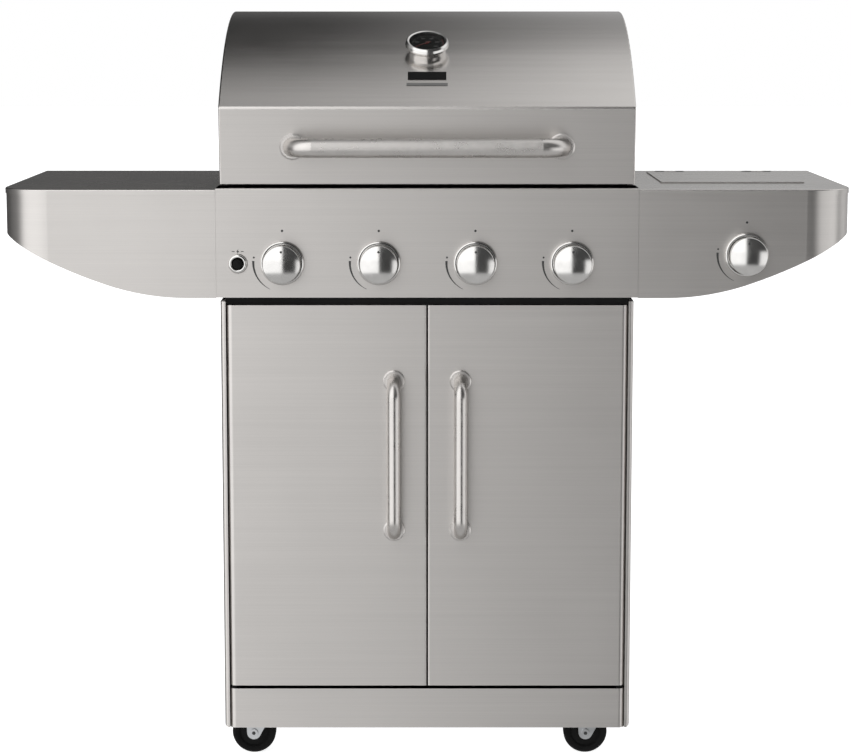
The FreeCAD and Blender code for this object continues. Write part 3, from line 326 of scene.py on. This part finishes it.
steel_level = brushed_steel("steel_level", LEVEL_GRAIN, wrapped=True)
steel_rolled = brushed_steel("steel_rolled", ROLLED_GRAIN, wrapped=False, roughness=0.22, anisotropy=0.1)
steel_flat = brushed_steel("steel_flat", FLAT_GRAIN, wrapped=False, roughness=0.26, anisotropy=0.1)
chrome = polished("chrome", (0.70, 0.69, 0.675), 0.17)
satin_tube = polished("satin_tube", STEEL, 0.30, 0.0)
ink = printed("ink", (0.03, 0.03, 0.03))
pale_ink = printed("pale_ink", (0.10, 0.10, 0.095))
warm_ink = printed("warm_ink", (0.06, 0.007, 0.005))
bar_grey = polished("bar_grey", (0.25, 0.247, 0.243), 0.4)

LOOKS = {
    "stainless_sheet": steel_level,
    "satin_tube": satin_tube,
    "knob_chrome": chrome,
    "rack_wire": polished("rack_wire", (0.66, 0.65, 0.64), 0.18),
    "black_enamel": enamel("black_enamel", (0.012, 0.012, 0.012), 0.28, 0.4),
    "black_paint": enamel("black_paint", (0.004, 0.004, 0.004), 0.6, 0.0, 0.1),
    "galvanised": galvanised("galvanised"),
    "zinc": polished("zinc", (0.56, 0.57, 0.58), 0.32),
    "burner_steel": burner_steel("burner_steel"),
    "cast": cast_iron("cast"),
    "brass": polished("brass", (0.70, 0.50, 0.24), 0.28),
    "black_plastic": moulded("black_plastic", (0.004, 0.004, 0.004), 0.35, 0.08),
    "dial_face": moulded("dial_face", (0.003, 0.003, 0.003), 0.5, 0.05),
    "needle": printed("needle_paint", (0.08, 0.010, 0.006)),
    "clear_glass": clear_glass("clear_glass"),
    "badge": enamel("badge", (0.004, 0.004, 0.004), 0.4, 0.0, 0.1),
    "tyre_black": moulded("tyre_black", (0.004, 0.004, 0.004), 0.6, 0.1),
}
UPPER_LOOKS = {              # sheets whose upper faces are brushed straight across
    "lid_shell": steel_rolled, "lid_end_caps": steel_rolled,
    "left_shelf_top": steel_flat, "right_shelf_top": steel_flat, "side_burner_lid": steel_flat,
}
UPPER_SLOPE = 0.2            # a face is an upper one when its normal rises more than this


def dress_nodes():
    """Gives every CAD node the look of its material slot."""
    for name, obj in nodes.items():
        material = LOOKS[obj.material_slots[0].material.name]
        for slot in obj.material_slots:
            slot.material = material
        if name in UPPER_LOOKS:
            second_look(name, UPPER_LOOKS[name], lambda face: face.normal.z > UPPER_SLOPE)
    low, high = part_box("name_plate")
    middle = (low[2] + high[2]) / 2
    second_look("name_plate", bar_grey, lambda face: face.center.z < middle)


def second_look(name, material, chosen):
    """Gives some faces of a node another material."""
    mesh = nodes[name].data
    mesh.materials.append(material)
    for face in mesh.polygons:
        if chosen(face):
            face.material_index = len(mesh.materials) - 1


# ---- pieces -------------------------------------------------------------------------
def piece(name, bm, body, material):
    """Makes a mesh object that rides on a body from a bmesh."""
    mesh = bpy.data.meshes.new(name)
    bm.to_mesh(mesh)
    bm.free()
    obj = bpy.data.objects.new(name, mesh)
    bpy.context.scene.collection.objects.link(obj)
    mesh.materials.append(material)
    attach(obj, body)


def plate(bm, outline, y_front, y_back):
    """A thin plate that faces the front: outline holds (x, z) points, anticlockwise from the front."""
    front = [bm.verts.new((x, y_front, z)) for x, z in outline]
    back = [bm.verts.new((x, y_back, z)) for x, z in outline]
    bm.faces.new(front)
    bm.faces.new(list(reversed(back)))
    count = len(outline)
    for i in range(count):
        j = (i + 1) % count
        bm.faces.new((front[i], back[i], back[j], front[j]))


def around(centre, radius, degrees):
    angle = math.radians(degrees)
    return (centre[0] + radius * math.cos(angle), centre[1] + radius * math.sin(angle))


def centre_xz(node):
    low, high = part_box(node)
    return ((low[0] + high[0]) / 2, (low[2] + high[2]) / 2)


MARK_THICKNESS = 0.15 * MM
AIM_BACK = 0.3                  # a ray to a knob's face starts this far in front of the doors
MARK_DOT_R = 1.9 * MM
MARK_DOT_RISE = 50 * MM
ARC_R = 45 * MM
ARC_FROM, ARC_TO = 176, 245     # degrees; the arc narrows towards its end
ARC_WIDTHS = (3.6 * MM, 0.5 * MM)
ARC_STEPS = 28
ARC_DOT_BEFORE = 7              # degrees from the small dot to the arc
ARC_DOT_R = 1.52 * MM
POINTER_RISE = 20 * MM
POINTER_R = 1.9 * MM
SPARK_RISE = 19 * MM
SPARK = [(-2.2, -0.6), (1.4, 4.2), (0.3, 0.8), (2.2, 0.6), (-1.4, -4.2), (-0.3, -0.8)]
SPARK_DASH = [(-2.2, -0.5), (2.2, -0.5), (2.2, 0.5), (-2.2, 0.5)]
DASH_OUT = 7
COLLAR = [                      # radius and height over the panel, mm
    (8.3, 0.0), (8.3, 2.0), (8.8, 3.6), (9.8, 4.6), (11.4, 5.0), (13.2, 4.6), (14.6, 3.2), (15.4, 0.0),
]
COLLAR_STEPS = 64
CASTERS = ("front_left", "front_right", "rear_left", "rear_right")
SOCKET_R = 3.2 * MM
DIAL_R = 24 * MM
DIAL_FIGURE_R = 16.5 * MM
DIAL_FROM, DIAL_TO = 215, -35   # degrees, clockwise over the top
DIAL_TICKS = 30
DIAL_GROUP = 6                  # ticks from one figure to the next
DIAL_STEP = 50
LONG_TICK = (3.4 * MM, 0.7 * MM)    # length and width
SHORT_TICK = (2.0 * MM, 0.4 * MM)
FIGURE_SIZE = 4.6 * MM
HOT_STEPS = 20                  # short blocks side by side make up the band
HOT_SPAN = 62
HOT_R = (24.6 * MM, 26.2 * MM)
HOT_STEP_WIDTH = 1.3 * MM


def dot_outline(centre, radius, steps=20):
    return [around(centre, radius, 360 * i / steps) for i in range(steps)]


def tapered_arc(centre):
    inner, outer = [], []
    for i in range(ARC_STEPS + 1):
        t = i / ARC_STEPS
        degrees = ARC_FROM + (ARC_TO - ARC_FROM) * t
        half = (ARC_WIDTHS[0] + (ARC_WIDTHS[1] - ARC_WIDTHS[0]) * t) / 2
        inner.append(around(centre, ARC_R - half, degrees))
        outer.append(around(centre, ARC_R + half, degrees))
    return outer + list(reversed(inner))


def knob_marks(knob):
    """The off mark over a knob, and the arc from high to low flame beside it."""
    centre = centre_xz(knob)
    panel = "right_shelf_fascia" if knob == KNOBS[-1] else "control_panel"
    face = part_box(panel)[0][1]
    bm = bmesh.new()
    flats = [
        dot_outline((centre[0], centre[1] + MARK_DOT_RISE), MARK_DOT_R),
        dot_outline(around(centre, ARC_R, ARC_FROM - ARC_DOT_BEFORE), ARC_DOT_R),
        tapered_arc(centre),
    ]
    for outline in flats:
        plate(bm, outline, face - MARK_THICKNESS, face + MARK_THICKNESS)
    piece(f"{knob}_marks", bm, "cart", ink)


def facing_disc(bm, centre, normal, radius, steps=16):
    """A flat disc at a point of a surface."""
    turn = normal.to_track_quat("Z", "Y").to_matrix().to_4x4()
    place = Matrix.Translation(centre) @ turn
    bmesh.ops.create_circle(bm, cap_ends=True, segments=steps, radius=radius, matrix=place)


def knob_pointer(knob):
    """A dark dot near the top of the knob's face."""
    x, z = centre_xz(knob)
    start = Vector((x, FRONT_Y - AIM_BACK, z + POINTER_RISE))
    _, place, normal, _ = nodes[knob].ray_cast(start, Vector((0, 1, 0)))
    bm = bmesh.new()
    facing_disc(bm, place + normal * MARK_THICKNESS, normal, POINTER_R)
    piece(f"{knob}_pointer", bm, knob, ink)


def spark_mark():
    """A small spark and two dashes over the igniter."""
    x, z = centre_xz("igniter_housing")
    z += SPARK_RISE
    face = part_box("control_panel")[0][1]
    bm = bmesh.new()
    outlines = [[(x + a * MM, z + b * MM) for a, b in SPARK]]
    for side in (-1, 1):
        outlines.append([(x + (side * DASH_OUT + a) * MM, z + b * MM) for a, b in SPARK_DASH])
    for outline in outlines:
        plate(bm, outline, face - MARK_THICKNESS, face + MARK_THICKNESS)
    piece("spark_mark", bm, "cart", ink)


def igniter_collar():
    """Rounded chrome collar over the ring around the igniter's button."""
    x, z = centre_xz("igniter_button")
    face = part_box("control_panel")[0][1]
    bm = bmesh.new()
    rings = []
    for radius, out in COLLAR:
        points = dot_outline((x, z), radius * MM, COLLAR_STEPS)
        rings.append([bm.verts.new((px, face - out * MM, pz)) for px, pz in points])
    for inner, outer in zip(rings, rings[1:]):
        for i in range(COLLAR_STEPS):
            j = (i + 1) % COLLAR_STEPS
            bm.faces.new((inner[i], inner[j], outer[j], outer[i])).smooth = True
    bmesh.ops.recalc_face_normals(bm, faces=bm.faces)
    piece("igniter_collar", bm, "cart", chrome)


def caster_socket_shades():
    """Painted shade: flat dark hexagons on the heads of the axle bolts, standing in for the shade inside
    their sockets.
    """
    for place in CASTERS:
        x, z = centre_xz(f"caster_wheel_{place}")
        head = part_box(f"caster_fork_{place}")[0][1]
        bm = bmesh.new()
        # The dark hexagon is painted shade laid flat on the bolt head in place of the socket's hollow.
        plate(bm, dot_outline((x, z), SOCKET_R, 6), head - MARK_THICKNESS, head + MARK_THICKNESS)
        piece(f"axle_socket_shade_{place}", bm, f"caster_fork_{place}", ink)


def dial_frame():
    """Matrix that puts a flat drawing (x right, y up) on the gauge's dial."""
    low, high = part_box("gauge_dial")
    middle = (Vector(low) + Vector(high)) / 2
    outside = Vector((0, -0.01, 0.03))
    _, place, normal, _ = nodes["gauge_dial"].ray_cast(middle + outside, -outside)
    right = Vector((1, 0, 0))
    up = normal.cross(right)
    turn = Matrix((right, up, normal)).transposed().to_4x4()
    lift = (place - middle).dot(normal) + MARK_THICKNESS
    return Matrix.Translation(middle + normal * lift) @ turn


def flat_shape(bm, place, points):
    bm.faces.new([bm.verts.new(place @ Vector((x, y, 0))) for x, y in points])


def dial_tick(bm, place, degrees, inner, outer, width):
    angle = math.radians(degrees)
    out = Vector((math.cos(angle), math.sin(angle)))
    side = Vector((-out.y, out.x)) * width / 2
    flat_shape(bm, place, [out * inner + side, out * inner - side, out * outer - side, out * outer + side])


def dial_marks():
    """Scale, figures and the band of the hottest range on the gauge's dial."""
    place = dial_frame()
    sweep = DIAL_TO - DIAL_FROM
    bm = bmesh.new()
    for i in range(DIAL_TICKS + 1):
        length, width = SHORT_TICK if i % DIAL_GROUP else LONG_TICK
        dial_tick(bm, place, DIAL_FROM + sweep * i / DIAL_TICKS, DIAL_R - length, DIAL_R, width)
    for i in range(DIAL_TICKS // DIAL_GROUP + 1):
        at = around((0, 0), DIAL_FIGURE_R, DIAL_FROM + sweep * i * DIAL_GROUP / DIAL_TICKS)
        add_figure(bm, place, str(DIAL_STEP * (i + 1)), at)
    piece("dial_scale", bm, "lid", pale_ink)
    bm = bmesh.new()
    for i in range(HOT_STEPS):
        degrees = DIAL_TO + HOT_SPAN * (i + 0.5) / HOT_STEPS
        dial_tick(bm, place, degrees, HOT_R[0], HOT_R[1], HOT_STEP_WIDTH)
    piece("dial_band", bm, "lid", warm_ink)


def add_figure(bm, place, text, at):
    """Adds a number to a mesh, centred at a point of the dial."""
    curve = bpy.data.curves.new("figure", "FONT")
    curve.body = text
    curve.size = FIGURE_SIZE
    curve.align_x = "CENTER"
    curve.align_y = "CENTER"
    holder = bpy.data.objects.new("figure", curve)
    mesh = bpy.data.meshes.new_from_object(holder)
    mesh.transform(place @ Matrix.Translation((at[0], at[1], 0)))
    bm.from_mesh(mesh)
    bpy.data.objects.remove(holder)
    bpy.data.curves.remove(curve)
    bpy.data.meshes.remove(mesh)


# ---- studio and camera --------------------------------------------------------------
def studio_world():
    """Soft panels seen only in reflections; the camera itself sees white behind the grill."""
    world = bpy.data.worlds.new("studio")
    bpy.context.scene.world = world
    world.use_nodes = True
    graph = Graph(world.node_tree)
    direction = graph.node("ShaderNodeTexCoord").outputs["Generated"]
    parts = graph.node("ShaderNodeSeparateXYZ", {"Vector": direction})
    x, y, z = parts.outputs[0], parts.outputs[1], parts.outputs[2]
    turn = graph.math("ARCTAN2", x, graph.math("MULTIPLY", y, -1.0))
    around_place = graph.math("MULTIPLY_ADD", turn, 1 / (2 * math.pi), 0.5)
    level = graph.ramp(around_place, [(0.5 + a / 360, b / RAMP_SCALE) for a, b in AROUND])
    left = graph.ramp(y, [(a, b / RAMP_SCALE) for a, b in OVERHEAD_LEFT])
    right = graph.ramp(y, [(a, b / RAMP_SCALE) for a, b in OVERHEAD_RIGHT])
    across = graph.ease(x, *OVERHEAD_BLEND)
    overhead = graph.blend(across, left, right)
    high_front = graph.ease(x, *FRONT_BLEND, FRONT_LEFT / RAMP_SCALE, FRONT_RIGHT / RAMP_SCALE)
    high = graph.blend(graph.ease(y, *FRONT_TO_OVERHEAD), high_front, overhead)
    lower = graph.blend(graph.ease(z, *BELOW_BLEND), BELOW / RAMP_SCALE, level)
    height = graph.math("ADD", z, graph.ease(y, 0.0, 0.5, 0.0, BACK_LIFT))
    light = graph.blend(graph.ease(height, *HORIZON_BLEND), lower, high)
    seen = graph.node("ShaderNodeLightPath").outputs["Is Camera Ray"]
    strength = graph.blend(seen, graph.math("MULTIPLY", light, RAMP_SCALE), 1.0)
    shader = graph.node("ShaderNodeBackground", {"Color": (1.0, 1.0, 1.0, 1.0), "Strength": strength})
    graph.node("ShaderNodeOutputWorld", {"Surface": shader.outputs[0]})


def pale_floor():
    """A wide white floor that takes a faint shadow and isn't seen in the steel."""
    bm = bmesh.new()
    bmesh.ops.create_grid(bm, x_segments=1, y_segments=1, size=FLOOR_HALF)
    mesh = bpy.data.meshes.new("floor")
    bm.to_mesh(mesh)
    bm.free()
    floor = bpy.data.objects.new("floor", mesh)
    bpy.context.scene.collection.objects.link(floor)
    floor.visible_glossy = False
    material, graph = new_material("floor")
    diffuse = graph.node("ShaderNodeBsdfDiffuse", {"Color": (0.9, 0.9, 0.9, 1.0)})
    glow = graph.node("ShaderNodeEmission", {"Color": (1.0, 1.0, 1.0, 1.0), "Strength": FLOOR_GLOW})
    both = graph.node("ShaderNodeAddShader", {0: diffuse.outputs[0], 1: glow.outputs[0]})
    graph.node("ShaderNodeOutputMaterial", {"Surface": both.outputs[0]})
    mesh.materials.append(material)


def place_camera():
    data = bpy.data.cameras.new("camera")
    data.lens = CAMERA_LENS
    data.sensor_width = 36.0
    data.shift_x = CAMERA_SHIFT_X
    data.clip_end = 100.0
    camera = bpy.data.objects.new("camera", data)
    camera.location = (0.0, FRONT_Y - CAMERA_DISTANCE, CAMERA_HEIGHT)
    camera.rotation_euler = (math.radians(90 - CAMERA_PITCH), 0.0, 0.0)
    bpy.context.scene.collection.objects.link(camera)
    bpy.context.scene.camera = camera


dress_nodes()
for each in KNOBS:
    knob_marks(each)
    knob_pointer(each)
spark_mark()
igniter_collar()
caster_socket_shades()
dial_marks()
studio_world()
pale_floor()
place_camera()
bpy.context.scene.view_settings.view_transform = "Standard"
